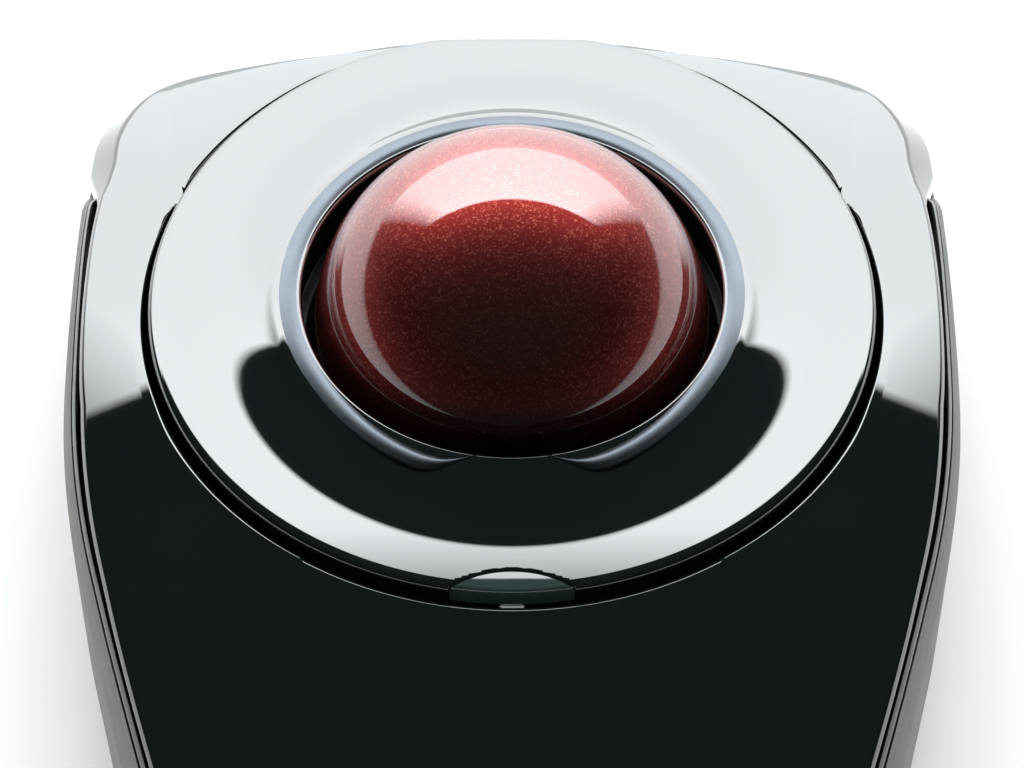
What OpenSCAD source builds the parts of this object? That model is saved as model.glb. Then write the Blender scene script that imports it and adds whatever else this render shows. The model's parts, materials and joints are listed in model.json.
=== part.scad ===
// Compact wireless trackball mouse.
// A 30 mm ball sits in a raised touch scroll ring, between two flexing click wings.
// +Y is the nose, +X the right hand side, +Z up. The rubber feet stand on z = 0.

/* [Body] */
// Overall length, nose to tail
body_l = 112; // [108:1:118]
// Overall width at the widest point
body_w = 68; // [66:0.5:72]
// Radius of the ball shaped top surface
dome_r = 97; // [94:0.5:102]
// Height of the dome's highest point
dome_top = 36.5; // [36:0.25:38]
// Distance of the dome's highest point in front of the middle
dome_y = 10; // [8:0.5:12]
// Angle at which the palm sides close towards the tail
palm_angle = 13; // [11:0.5:15]
// Wall thickness of the glossy cover
cover_t = 1.8; // [1.4:0.1:2.2]
// Depth of the cover's side skirt
skirt_h = 3.6; // [3.2:0.1:4.2]
// Thickness of the floor
floor_t = 1.6; // [1.4:0.1:1.8]
// Height of the rubber feet under the floor
foot_h = 0.8; // [0.5:0.1:1.2]

/* [Ball and ring] */
// Ball diameter
ball_d = 30; // [29:0.25:30.5]
// Distance of the ring's middle in front of the body's middle
ring_y = 30; // [29:0.5:31]
// Outer radius of the touch scroll ring
ring_r = 27.5; // [27:0.1:28]
// Height of the ring's edge above the dome
ring_proud = 1.0; // [0.7:0.1:1.3]
// Outer radius of the bright bezel
bezel_r = 17.8; // [17.4:0.1:18.2]
// Clearance between the ball and the bezel
bezel_gap = 0.85; // [0.7:0.05:1]
// Depth of the ball's centre below the top of the bezel
ball_sink = 3.9; // [3.6:0.1:4.2]

/* [Fits] */
// Seam between the ring and the cover
ring_gap = 0.45; // [0.4:0.05:0.6]
// Seam between the palm and the click wings
wing_gap = 0.2; // [0.15:0.05:0.3]
// Seam under the cover's skirt
skirt_gap = 0.8; // [0.75:0.05:1]
// Running clearance of sliding pieces
slide_gap = 0.15; // [0.1:0.05:0.25]

/* [Hidden] */
$fn = 96;
half_l = body_l / 2;
half_w = body_w / 2;
// dome and ring axis
dome_z = dome_top - dome_r;
tilt = asin((ring_y - dome_y) / dome_r);
ring_edge = sqrt(dome_r * dome_r - ring_r * ring_r) + ring_proud;
bezel_top = ring_edge + 1.3;
ball_a = bezel_top - ball_sink;
ball_r = ball_d / 2;
bore_r = ball_r + bezel_gap;
ball_y = dome_y + ball_a * sin(tilt);
ball_z = dome_z + ball_a * cos(tilt);
ring_under = ring_edge - 4.05;
// plan outline
side_r = 75;
side_y = 24;
front_r = 400;
nose_r = 260;
corner_r = 6.5;
palm_k = (half_w - side_r) * cos(palm_angle) - side_y * sin(palm_angle) + side_r;
tail_r = (palm_k - half_l * sin(palm_angle)) / (1 - sin(palm_angle));
tail_y = tail_r - half_l;
// layers under the cover
trim_h = 1.1;
trim_gap = 0.35;
skin_t = 1.3;
wall_in = 4.1;
lip_out = 2.9;
trim_top = dome_r - skirt_h - skirt_gap;
grip_top = trim_top - trim_h - trim_gap;
grip_low = 4.2;
grip_rear = -45;
grip_front = 45;
floor_z = foot_h;
floor_top = foot_h + floor_t;
cup_t = 1.5;
cup_gap = 0.9;
flange_t = 1.1;
electrode_t = 0.4;
flange_r = 22;
flange_a = ring_under - electrode_t - flange_t;
wing_y = 6;
// inside
board_z = 15;
board_t = 1.2;
board_top = board_z + board_t;
switch_x = 22;
switch_y = 30;
switch_h = 6.8;
plunger_top = board_top + switch_h + 1;
arm_gap = 0.1;
arm_low = plunger_top + arm_gap;
arm_t = 2.1;
cell_r = 5.25;
cell_l = 44.5;
cell_x = 5.7;
cell_z = floor_top + 0.6 + cell_r;
cell_y = -25.5;
post_x = 15.5;
post_dy = 15.5;
post_r = 2.2;
boss_x = 19.5;
boss_y = -12;
boss_r = 2.4;
boss_split = 10;
board_bosses = [[24, 2], [23.5, 39], [14.3, -31]];
foot_front = [22, 41, 5];
foot_rear = [16.2, -36, 3.2];
door_w = 24;
door_front = -2;
door_t = 1.4;
bay_w = 15.4;
bay_h = 6.8;
bay_rear = 33.5;
bay_z = floor_top + 0.3;
bay_wall = 1.2;
tray_w = 23.8;
tray_rear = -50.4;
tray_l = 49.6;
sensor_turn = 35;
sensor_board_w = 13;
power_y = 5.2;

// The plan outline is drawn from a pole at the middle of the body. From the nose back its
// pieces are the nose arc, the corner, the flat front of the side, the side's arc, the
// palm's straight and the tail's arc. Each meets the next in a common tangent.
// off moves the whole outline out or in.
plan_n = 120;
function ray_circle(y, x, r, a) =
  let (b = x * cos(a) + y * sin(a), c = x * x + y * y - r * r) b + sqrt(b * b - c);
function palm_from(off) =
  atan2(side_y - (side_r + off) * sin(palm_angle),
        half_w - side_r + (side_r + off) * cos(palm_angle));
function tail_from(off) =
  atan2(tail_y - (tail_r + off) * sin(palm_angle), (tail_r + off) * cos(palm_angle));
function ray_palm(off, a) =
  (palm_k + off) / (cos(a) * cos(palm_angle) - sin(a) * sin(palm_angle));
// the corner's centre lies at known distances from the centres of its two neighbours
nose_c = [0, half_l - nose_r];
front_c = [half_w - front_r, side_y];
corner_c = let (d = norm(front_c - nose_c), m = nose_r - corner_r, n = front_r - corner_r,
                t = (m * m - n * n + d * d) / (2 * d), u = (front_c - nose_c) / d)
  nose_c + t * u + sqrt(m * m - t * t) * [u.y, -u.x];
function angle_of(p) = atan2(p.y, p.x);
function touch(c, r) = c + r * (corner_c - c) / norm(corner_c - c);
function corner_from(off) = angle_of(touch(front_c, front_r + off));
function nose_from(off) = angle_of(touch(nose_c, nose_r + off));
function front_from(off) = atan2(side_y, half_w + off);
function right_radius(off, a) =
  a < tail_from(off) ? ray_circle(tail_y, 0, tail_r + off, a)
  : a < palm_from(off) ? ray_palm(off, a)
  : a < front_from(off) ? ray_circle(side_y, half_w - side_r, side_r + off, a)
  : a < corner_from(off) ? ray_circle(front_c.y, front_c.x, front_r + off, a)
  : a < nose_from(off) ? ray_circle(corner_c.y, corner_c.x, corner_r + off, a)
  : ray_circle(nose_c.y, nose_c.x, nose_r + off, a);
// the angle folded onto the right hand half
function fold(a) = abs(a) <= 90 ? a : (a > 0 ? 180 - a : -180 - a);
function plan_point(off, i) =
  let (a = (i + 0.5) * 360 / plan_n - 180, r = right_radius(off, fold(a)))
  [r * cos(a), r * sin(a)];
function plan_points(off) = [for (i = [0 : plan_n - 1]) plan_point(off, i)];
function dome_height(r, p) =
  dome_z + sqrt(r * r - p.x * p.x - (p.y - dome_y) * (p.y - dome_y));

// The outer skin is a stack of rings, each the plan outline at an inset and a height. The
// bevel under the crease is widest at the nose's corners and narrow along the nose.
bevel_side = 2.3;
bevel_nose = 0.6;
bevel_corner = 1.1;
bevel_spread = 4.5;
bevel_start = 65.5;
bevel_run = 9;
corner_angle = 57;
function bevel(i) =
  let (a = fold((i + 0.5) * 360 / plan_n - 180), t = min(1, max(0, (bevel_start - a) / bevel_run)))
  bevel_nose + (bevel_side - bevel_nose) * t * t * (3 - 2 * t)
  + bevel_corner * exp(-pow((a - corner_angle) / bevel_spread, 2));
function skin_inset(k, i) = k < 2 ? bevel(i) : k == 2 ? 0.4 : k == 3 ? 0 : k == 4 ? 0.4 : 2;
function skin_height(k, p) =
  k == 0 ? 60
  : k == 1 ? dome_height(dome_r, p) + 0.8
  : k == 2 ? dome_height(dome_r, p) - 2.4
  : k == 3 ? max(dome_height(grip_top - 0.7, p), 3.4)
  : k == 4 ? 2.6
  : floor_z;
skin_points = [for (k = [0 : 5]) for (i = [0 : plan_n - 1])
  let (p = plan_point(-skin_inset(k, i), i)) [p.x, p.y, skin_height(k, p)]];
skin_sides = [for (k = [0 : 4]) for (i = [0 : plan_n - 1])
  let (j = (i + 1) % plan_n, u = k * plan_n, v = (k + 1) * plan_n)
  each [[u + i, v + i, v + j], [u + i, v + j, u + j]]];
skin_top = [[for (i = [0 : plan_n - 1]) plan_n - 1 - i]];
skin_bottom = [[for (i = [0 : plan_n - 1]) 5 * plan_n + i]];

module outer_skin() {
  polyhedron(points = skin_points, faces = [for (f = concat(skin_sides, skin_top, skin_bottom))
    [for (i = [len(f) - 1 : -1 : 0]) f[i]]]);
}

module plan_prism(off, low, high) {
  translate([0, 0, low]) linear_extrude(high - low) polygon(plan_points(off));
}

module dome(r) {
  translate([0, dome_y, dome_z]) sphere(r = r, $fn = 200);
}

// puts children on the tilted ring axis, z counted from the dome's centre
module on_ring_axis() {
  translate([0, dome_y, dome_z]) rotate([-tilt, 0, 0]) children();
}

module ring_hole(r, low) {
  on_ring_axis() translate([0, 0, low]) cylinder(r = r, h = 20);
}

// the part of the ring's hole that runs down through the nose
module nose_hole(r) {
  intersection() {
    on_ring_axis() translate([0, 0, ring_under - 12]) cylinder(r = r, h = 13);
    translate([-half_w, half_l - 6, 0]) cube([body_w, 12, 60]);
  }
}

module span(y0, y1, x0, x1) {
  translate([x0, y0, -1]) cube([x1 - x0, y1 - y0, 70]);
}

module shell() {
  difference() {
    intersection() {
      outer_skin();
      dome(dome_r);
    }
    dome(dome_r - skirt_h);
    intersection() {
      plan_prism(-skin_t - 1.1, -1, 70);
      dome(dome_r - cover_t);
    }
  }
}

module palm_cover() {
  color([0.02, 0.02, 0.025]) {
    difference() {
      shell();
      span(wing_y, half_l + 1, -half_w - 1, half_w + 1);
      ring_hole(ring_r + ring_gap, 85);
    }
    for (s = [-1, 1]) translate([s * boss_x, boss_y, 0]) difference() {
      translate([0, 0, boss_split]) cylinder(r = boss_r, h = 27 - boss_split);
      translate([0, 0, boss_split - 1]) cylinder(r = 0.85, h = 10);
    }
    for (s = [-1, 1]) translate([s * boss_x, boss_y, 26]) cylinder(r = boss_r, h = 5.2);
  }
}

module wing(s) {
  difference() {
    union() {
      difference() {
        shell();
        span(-half_l - 1, wing_y + wing_gap, -half_w - 1, half_w + 1);
      }
      translate([s > 0 ? switch_x - 2 : -switch_x - 10.4, switch_y - 3, arm_low])
        cube([12.4, 6, arm_t]);
    }
    ring_hole(ring_r + ring_gap, ring_under - 0.4);
    nose_hole(ring_r + ring_gap);
    translate([s > 0 ? -half_w - 5 : 0, -half_l, 0]) cube([half_w + 5, body_l + 5, 60]);
  }
}

module left_button() color([0.02, 0.02, 0.025]) wing(-1);
module right_button() color([0.02, 0.02, 0.025]) wing(1);

// The touch land is flat at the rim. Inwards it rises in an arc to a lip at the bezel.
land_r = 22.3;
rise_r = 9.9;
lip_r = 18.3;
rim_round = 0.6;
function rise(r) = rise_r - sqrt(rise_r * rise_r - pow(land_r - r, 2));

module ring_profile() {
  difference() {
    polygon(concat(
      [[bore_r, ring_under], [ring_r, ring_under], [ring_r, ring_edge - rim_round]],
      [for (t = [15 : 15 : 90]) [ring_r - rim_round + rim_round * cos(t),
                                 ring_edge - rim_round + rim_round * sin(t)]],
      [for (k = [0 : 6]) let (r = land_r + k * (lip_r - land_r) / 6) [r, ring_edge + rise(r)]],
      [[bore_r, ring_edge + rise(lip_r)]]));
    translate([bore_r - 1, ring_edge - 0.05]) square([bezel_r - bore_r + 1.05, 2]);
  }
}

window_r = 7.7;
window_back = 5.6;
module window_shape(gap, rim, low, high) {
  on_ring_axis() intersection() {
    translate([0, -ring_r - window_back, low])
      cylinder(r = window_r + gap, h = high - low, $fn = 240);
    translate([0, 0, low - 1]) cylinder(r = rim, h = 10, $fn = 240);
  }
}

module scroll_ring() {
  color([0.02, 0.02, 0.025]) difference() {
    union() {
      intersection() {
        on_ring_axis() rotate_extrude() ring_profile();
        outer_skin();
      }
      intersection() {
        shell();
        nose_hole(ring_r);
      }
    }
    window_shape(0, ring_r + 0.02, ring_edge - 1.9, ring_edge + 5);
    translate([0, ball_y - 25.65, 20]) cylinder(r = 1.4, h = 30);
  }
}

// At the rear the bezel narrows to two points, which face each other across the ring.
tip_from = 5.5;
tip_to = 24;
function tip_r(a) =
  let (t = min(1, max(0, (a - tip_from) / (tip_to - tip_from))))
  bore_r + 0.1 + (bezel_r - bore_r + 0.3) * t * t * (3 - 2 * t);

module bezel_points() {
  on_ring_axis() translate([0, 0, ring_edge - 1]) linear_extrude(5) polygon(concat(
    [for (a = [-tip_to : 2 : tip_to]) tip_r(abs(a)) * [sin(a), -cos(a)]],
    [for (a = [tip_to : -12 : -tip_to]) (bezel_r + 3) * [sin(a), -cos(a)]]));
  on_ring_axis() translate([0, 0, ring_edge - 1]) linear_extrude(5) polygon(concat(
    [for (a = [-tip_from, tip_from]) (bore_r - 1) * [sin(a), -cos(a)]],
    [for (a = [tip_from, -tip_from]) (bezel_r + 1) * [sin(a), -cos(a)]]));
}

module ball_bezel() {
  color([0.75, 0.78, 0.82]) difference() {
    on_ring_axis() rotate_extrude() difference() {
      translate([bore_r, ring_edge - 0.05])
        square([bezel_r - bore_r, bezel_top - ring_edge + 0.05]);
      translate([bore_r, bezel_top - 0.35]) rotate(45) square(0.7, center = true);
      translate([bezel_r + 0.05, bezel_top + 0.1]) rotate(30) square([2, 1.3], center = true);
    }
    bezel_points();
  }
}

module ball() {
  color([0.5, 0.04, 0.05]) translate([0, ball_y, ball_z]) sphere(r = ball_r, $fn = 120);
}

module status_window() {
  color([0.12, 0.15, 0.15])
    window_shape(-0.1, ring_r - 0.1, ring_edge - 1.85, ring_edge - 0.15);
}

module light_pipe() {
  color([0.85, 0.87, 0.85]) translate([0, ball_y - 25.65, board_top + 1.1])
    cylinder(r = 1.25, h = 17.6);
}

module status_led() {
  color([0.9, 0.9, 0.85]) translate([-0.8, ball_y - 26.45, board_top]) cube([1.6, 1.6, 0.9]);
}

// the outer skin on one flank, between the ends of the grip
module flank(s, low) {
  intersection() {
    outer_skin();
    translate([s > 0 ? 5 : -half_w - 1, grip_rear, low])
      cube([half_w - 4, grip_front - grip_rear, 40]);
  }
}

module trim(s) {
  difference() {
    intersection() {
      flank(s, grip_low);
      dome(trim_top);
    }
    dome(trim_top - trim_h);
    plan_prism(-skin_t, -1, 70);
  }
}

module left_trim() color([0.45, 0.46, 0.46]) trim(-1);
module right_trim() color([0.45, 0.46, 0.46]) trim(1);

module side_grip(s) {
  difference() {
    intersection() {
      flank(s, grip_low);
      dome(grip_top);
    }
    plan_prism(-skin_t, -1, 70);
  }
}

module left_side_grip() color([0.42, 0.42, 0.40]) side_grip(-1);
module right_side_grip() color([0.42, 0.42, 0.40]) side_grip(1);

// lug posts carry the ball cup's flange
module cup_posts(r, low) {
  for (x = [-post_x, post_x]) for (y = [-post_dy, post_dy])
    translate([x, ball_y + y, low]) cylinder(r = r, h = 40);
}

module base_walls() {
  difference() {
    intersection() {
      outer_skin();
      union() {
        dome(trim_top);
        intersection() {
          dome(trim_top + 1.5);
          plan_prism(-lip_out, 1, 60);
        }
      }
    }
    plan_prism(-wall_in, floor_top, 60);
    ring_hole(ring_r + ring_gap + 0.4, ring_under - 0.1);
    difference() {
      translate([-half_w - 1, grip_rear, grip_low])
        cube([body_w + 2, grip_front - grip_rear, 40]);
      plan_prism(-skin_t, -1, 70);
    }
    for (s = [-1, 1]) translate([s * (half_w - 4) - 4, switch_y - 3.6, arm_low - 0.9])
      cube([8, 7.2, 20]);
  }
}

module base_housing() {
  color([0.10, 0.10, 0.11]) difference() {
    union() {
      base_walls();
      intersection() {
        cup_posts(post_r, floor_top - 0.5);
        on_ring_axis() cylinder(r = 60, h = flange_a);
      }
      for (s = [-1, 1]) for (b = board_bosses)
        translate([s * b.x, b.y, floor_top - 0.5]) cylinder(r = 2.1, h = board_z - floor_top + 0.5);
      for (s = [-1, 1]) translate([s * boss_x, boss_y, floor_top - 0.5])
        cylinder(r = boss_r, h = boss_split - floor_top + 0.5);
      translate([-bay_w / 2 - bay_wall, bay_rear - bay_wall, floor_top - 0.5])
        cube([bay_w + 2 * bay_wall, 19.4, bay_h + bay_wall + 0.8]);
    }
    // receiver bay, open at the nose
    translate([-bay_w / 2, bay_rear, bay_z]) cube([bay_w, 40, bay_h]);
    // battery door opening and the grooves it runs in
    translate([-door_w / 2 - slide_gap, -half_l - 1, -1])
      cube([door_w + 2 * slide_gap, half_l + 1 + door_front + slide_gap, floor_top + 1.2]);
    translate([-door_w / 2 - 1.2, -half_l - 1, floor_z + 0.45])
      cube([door_w + 2.4, half_l + 1 + door_front + slide_gap, 0.8]);
    // room for the battery tray at the tail
    translate([-tray_w / 2 - 0.2, tray_rear - 0.2, floor_top])
      cube([tray_w + 0.4, 20, 12]);
    // power switch slot
    translate([-4.2, power_y - 1.75, -1]) cube([8.4, 3.5, 5]);
    translate([-5.4, power_y - 2.6, floor_z - 1]) cube([10.8, 5.2, 1.5]);
    // seats of the feet
    for (s = [-1, 1]) for (f = [foot_front, foot_rear])
      translate([s * f.x, f.y, -1]) cylinder(r = f.z + 0.05, h = floor_z + 1.4);
    // screws
    for (s = [-1, 1]) for (p = [[boss_x, boss_y], [post_x, ball_y + post_dy]])
      translate([s * p.x, p.y, -1]) {
        cylinder(r = 1.0, h = 17);
        cylinder(r = 2.05, h = floor_z + 1.9);
      }
    for (s = [-1, 1]) for (b = board_bosses)
      translate([s * b.x, b.y, board_z - 6]) cylinder(r = 0.85, h = 7);
  }
}

module rubber_feet() {
  color([0.06, 0.06, 0.06]) for (s = [-1, 1]) for (f = [foot_front, foot_rear])
    translate([s * f.x, f.y, 0]) cylinder(r = f.z, h = floor_z + 0.4);
}

module battery_door() {
  color([0.10, 0.10, 0.11]) difference() {
    intersection() {
      plan_prism(-2.1, floor_z - 1, floor_top);
      union() {
        translate([-door_w / 2, -half_l - 1, floor_z])
          cube([door_w, half_l + 1 + door_front, door_t]);
        translate([-door_w / 2 - 1, -half_l + 3, floor_z + 0.6])
          cube([door_w + 2, half_l - 3 + door_front, 0.5]);
      }
    }
    for (k = [0 : 3]) translate([-5, -15 - 1.6 * k, floor_z - 0.5]) cube([10, 0.8, 0.9]);
  }
}

module housing_screws() {
  color([0.6, 0.6, 0.62])
    for (s = [-1, 1]) for (p = [[boss_x, boss_y], [post_x, ball_y + post_dy]])
      translate([s * p.x, p.y, floor_z + 0.3]) difference() {
        union() {
          cylinder(r = 1.8, h = 0.6);
          cylinder(r = 0.8, h = 13);
        }
        for (a = [0, 90]) rotate(a) translate([-1.1, -0.2, -1]) cube([2.2, 0.4, 1.4]);
      }
}

module power_slider() {
  color([0.75, 0.75, 0.73]) translate([-1.5, power_y, 0]) {
    translate([-2, -1.4, floor_z + 0.25]) cube([4, 2.8, floor_t + 0.5]);
    for (k = [-1 : 1]) translate([k * 1.2 - 0.25, -1.4, floor_z + 0.05]) cube([0.5, 2.8, 0.4]);
  }
}

module power_switch_body() {
  color([0.7, 0.7, 0.7]) difference() {
    translate([-5, power_y - 2.2, floor_top]) cube([10, 4.4, 3.6]);
    translate([-4.2, power_y - 1.6, floor_top - 1]) cube([8.4, 3.2, 2.2]);
  }
}

module receiver_cap() {
  color([0.05, 0.05, 0.055]) difference() {
    translate([-bay_w / 2 + 0.3, half_l - 7.6, bay_z + 0.3]) cube([bay_w - 0.6, 7, bay_h - 0.6]);
    for (k = [-1 : 1]) translate([-5, half_l - 1, bay_z + bay_h / 2 + k * 1.4 - 0.3])
      cube([10, 1, 0.6]);
  }
}

module receiver_plug() {
  color([0.75, 0.76, 0.78]) difference() {
    translate([-6, half_l - 19.6, bay_z + 1.15]) cube([12, 12, 4.5]);
    translate([-5.6, half_l - 20, bay_z + 1.55]) cube([11.2, 12, 3.7]);
    for (x = [-2.4, 2.4]) translate([x - 1, half_l - 16, bay_z + 5]) cube([2, 2, 2]);
  }
}

module receiver_tongue() {
  color([0.92, 0.92, 0.9]) translate([-5.5, half_l - 19.2, bay_z + 1.6]) cube([11, 11.1, 1.7]);
}

// hemispherical cup with a window for the sensor and pockets for the bearings
module bearing_places() {
  translate([0, ball_y, ball_z]) rotate([-tilt, 0, 0]) for (a = [30, 150, 270]) rotate([0, 0, a])
    rotate([0, 118, 0]) translate([0, 0, ball_r + 1.28]) children();
}

module on_sensor_axis() {
  translate([0, ball_y, ball_z]) rotate([180 - sensor_turn, 0, 0]) children();
}

module ball_cup() {
  color([0.08, 0.08, 0.09]) difference() {
    union() {
      intersection() {
        translate([0, ball_y, ball_z]) sphere(r = ball_r + cup_gap + cup_t);
        on_ring_axis() cylinder(r = 30, h = flange_a + flange_t);
      }
      on_ring_axis() translate([0, 0, flange_a]) cylinder(r = flange_r, h = flange_t);
      bearing_places() sphere(r = 2.1, $fn = 32);
    }
    translate([0, ball_y, ball_z]) sphere(r = ball_r + cup_gap);
    bearing_places() sphere(r = 1.3, $fn = 32);
    on_sensor_axis() cylinder(r = 3.2, h = 30);
    // the click arms reach under the flange here
    for (s = [-1, 1]) translate([s * switch_x - 2.6, switch_y - 3.6, arm_low - 1])
      cube([5.2, 7.2, arm_t + 1.4]);
    translate([0, ball_y - 25.65, 20]) cylinder(r = 1.5, h = 30);
  }
}

module support_bearings() {
  color([0.9, 0.9, 0.92]) bearing_places() sphere(r = 1.25, $fn = 32);
}

module touch_electrode() {
  color([0.75, 0.5, 0.2]) on_ring_axis() translate([0, 0, flange_a + flange_t + 0.02])
    difference() {
      cylinder(r = flange_r, h = electrode_t - 0.04);
      translate([0, 0, -1]) cylinder(r = flange_r - 3.6, h = 3);
      for (k = [0 : 7]) rotate(k * 45) translate([flange_r - 3.7, -0.25, 0.15]) cube([4, 0.5, 2]);
    }
}

module touch_connector() {
  color([0.9, 0.88, 0.8]) translate([8, 2, board_top]) cube([8, 3.6, 1.6]);
}

module sensor_board() {
  color([0.05, 0.3, 0.15]) on_sensor_axis() translate([0, 0, ball_r + 6.0]) difference() {
    translate([-sensor_board_w / 2, -sensor_board_w / 2, 0])
      cube([sensor_board_w, sensor_board_w, 1.0]);
    for (x = [-5, 5]) for (y = [-5, 5]) translate([x, y, -1]) cylinder(r = 0.8, h = 3);
  }
}

module sensor_chip() {
  color([0.03, 0.03, 0.03]) on_sensor_axis() translate([-4.5, -4.5, ball_r + 4.2])
    cube([9, 9, 1.78]);
}

module sensor_lens() {
  color([0.8, 0.85, 0.9]) on_sensor_axis() translate([0, 0, ball_r + 1.4]) union() {
    cylinder(r = 2.8, h = 2.77);
    translate([-5, -5, 1.5]) cube([10, 10, 1.27]);
  }
}

module main_board() {
  color([0.05, 0.3, 0.15]) difference() {
    translate([0, 0, board_z]) linear_extrude(board_t) polygon([
      [-16.3, -34], [16.3, -34], [16.3, -1], [26.2, -1], [26.2, 42], [18.6, 42],
      [18.6, 9], [-18.6, 9], [-18.6, 42], [-26.2, 42], [-26.2, -1], [-16.3, -1]]);
    for (s = [-1, 1]) for (b = board_bosses)
      translate([s * b.x, b.y, board_z - 1]) cylinder(r = 1.1, h = 4);
  }
}

module board_screws() {
  color([0.6, 0.6, 0.62]) for (s = [-1, 1]) for (b = board_bosses)
    translate([s * b.x, b.y, board_top]) difference() {
      union() {
        cylinder(r = 1.7, h = 0.9);
        translate([0, 0, -5]) cylinder(r = 0.8, h = 5.5);
      }
      for (a = [0, 90]) rotate(a) translate([-1, -0.2, 0.4]) cube([2, 0.4, 1]);
    }
}

module chip(x, y, w, l, h) {
  translate([x - w / 2, y - l / 2, board_top]) cube([w, l, h]);
}

module controller_chip() color([0.03, 0.03, 0.03]) chip(-7, -6, 7, 7, 1);
module radio_chip() color([0.03, 0.03, 0.03]) chip(7, -14, 5, 5, 0.9);

module antenna_module() {
  color([0.05, 0.3, 0.15]) translate([-3, -32, board_top]) {
    cube([6, 8, 0.8]);
    translate([1, 4, 0.79]) cube([4, 3, 0.8]);
  }
}

module switch_body(s) {
  translate([s * switch_x, switch_y, board_top]) difference() {
    translate([-3, -6.4, 0]) cube([6, 12.8, switch_h]);
    translate([-0.9, -1.65, switch_h - 2.1]) cube([1.8, 3.3, 3]);
    translate([-3.5, -6.5, switch_h / 2 - 0.1]) cube([0.8, 13, 0.2]);
  }
}

module switch_plunger(s) {
  translate([s * switch_x - 0.8, switch_y - 1.5, plunger_top - 2.6]) cube([1.6, 3, 2.6]);
}

module left_switch_body() color([0.08, 0.08, 0.08]) switch_body(-1);
module right_switch_body() color([0.08, 0.08, 0.08]) switch_body(1);
module left_switch_plunger() color([0.85, 0.2, 0.15]) switch_plunger(-1);
module right_switch_plunger() color([0.85, 0.2, 0.15]) switch_plunger(1);

module battery_tray() {
  color([0.12, 0.12, 0.13]) difference() {
    translate([-tray_w / 2, tray_rear, floor_top + 0.2]) cube([tray_w, tray_l, 6.6]);
    for (s = [-1, 1]) translate([s * cell_x, cell_y, cell_z]) rotate([90, 0, 0])
      cylinder(r = cell_r + 0.15, h = cell_l + 0.6, center = true);
    for (s = [-1, 1]) translate([s * cell_x - 4.5, tray_rear + 0.8, floor_top + 1])
      cube([9, tray_l - 1.4, 20]);
  }
}

module battery(s) {
  y0 = cell_y - cell_l / 2;
  translate([s * cell_x, s > 0 ? y0 : y0 + cell_l, cell_z]) rotate([s > 0 ? -90 : 90, 0, 0]) {
    cylinder(r = cell_r, h = cell_l - 1);
    cylinder(r = 1.9, h = cell_l);
  }
}

module left_battery() color([0.55, 0.56, 0.58]) battery(-1);
module right_battery() color([0.55, 0.56, 0.58]) battery(1);

// coil with its turns closed up, at each cell's flat end
module battery_springs() {
  color([0.8, 0.8, 0.82])
    for (s = [-1, 1]) translate([s * cell_x, cell_y - s * (cell_l / 2 + 0.33), cell_z])
      rotate([s > 0 ? 90 : -90, 0, 0]) for (k = [0 : 2]) translate([0, 0, 0.4 * k - 0.24])
        difference() {
          cylinder(r = 2.5 + 0.35 * k, h = 0.44);
          translate([0, 0, -1]) cylinder(r = 2.05 + 0.35 * k, h = 3);
        }
}

module battery_contacts() {
  color([0.8, 0.8, 0.82]) for (s = [-1, 1]) {
    translate([s * cell_x - 4, cell_y - s * (cell_l / 2 + 1.62) - 0.15, floor_top + 1.1])
      cube([8, 0.3, 8.6]);
    translate([s * cell_x - 4, cell_y + s * (cell_l / 2 + 0.2) - 0.15, floor_top + 1.1])
      cube([8, 0.3, 8.6]);
  }
}

palm_cover();
left_button();
right_button();
scroll_ring();
ball_bezel();
ball();
status_window();
light_pipe();
status_led();
left_trim();
right_trim();
left_side_grip();
right_side_grip();
base_housing();
rubber_feet();
battery_door();
housing_screws();
power_slider();
power_switch_body();
receiver_cap();
receiver_plug();
receiver_tongue();
ball_cup();
support_bearings();
touch_electrode();
touch_connector();
sensor_board();
sensor_chip();
sensor_lens();
main_board();
board_screws();
controller_chip();
radio_chip();
antenna_module();
left_switch_body();
right_switch_body();
left_switch_plunger();
right_switch_plunger();
battery_tray();
left_battery();
right_battery();
battery_springs();
battery_contacts();
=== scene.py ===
# %% [markdown]
# # A compact wireless trackball
# This lesson builds the visible model of a small trackball around its fixed CAD frame:
# a ruby ball in a satin bezel, a black touch scroll ring with a finger channel, a glossy
# one piece cover whose flanks click, and soft grey grips along both sides.
# The frame gives every size, so the first cell loads it and keeps its box.

# %% Load the frame
import json
import math

import bmesh
import bpy
import numpy as np
from mathutils import Matrix, Vector


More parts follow.
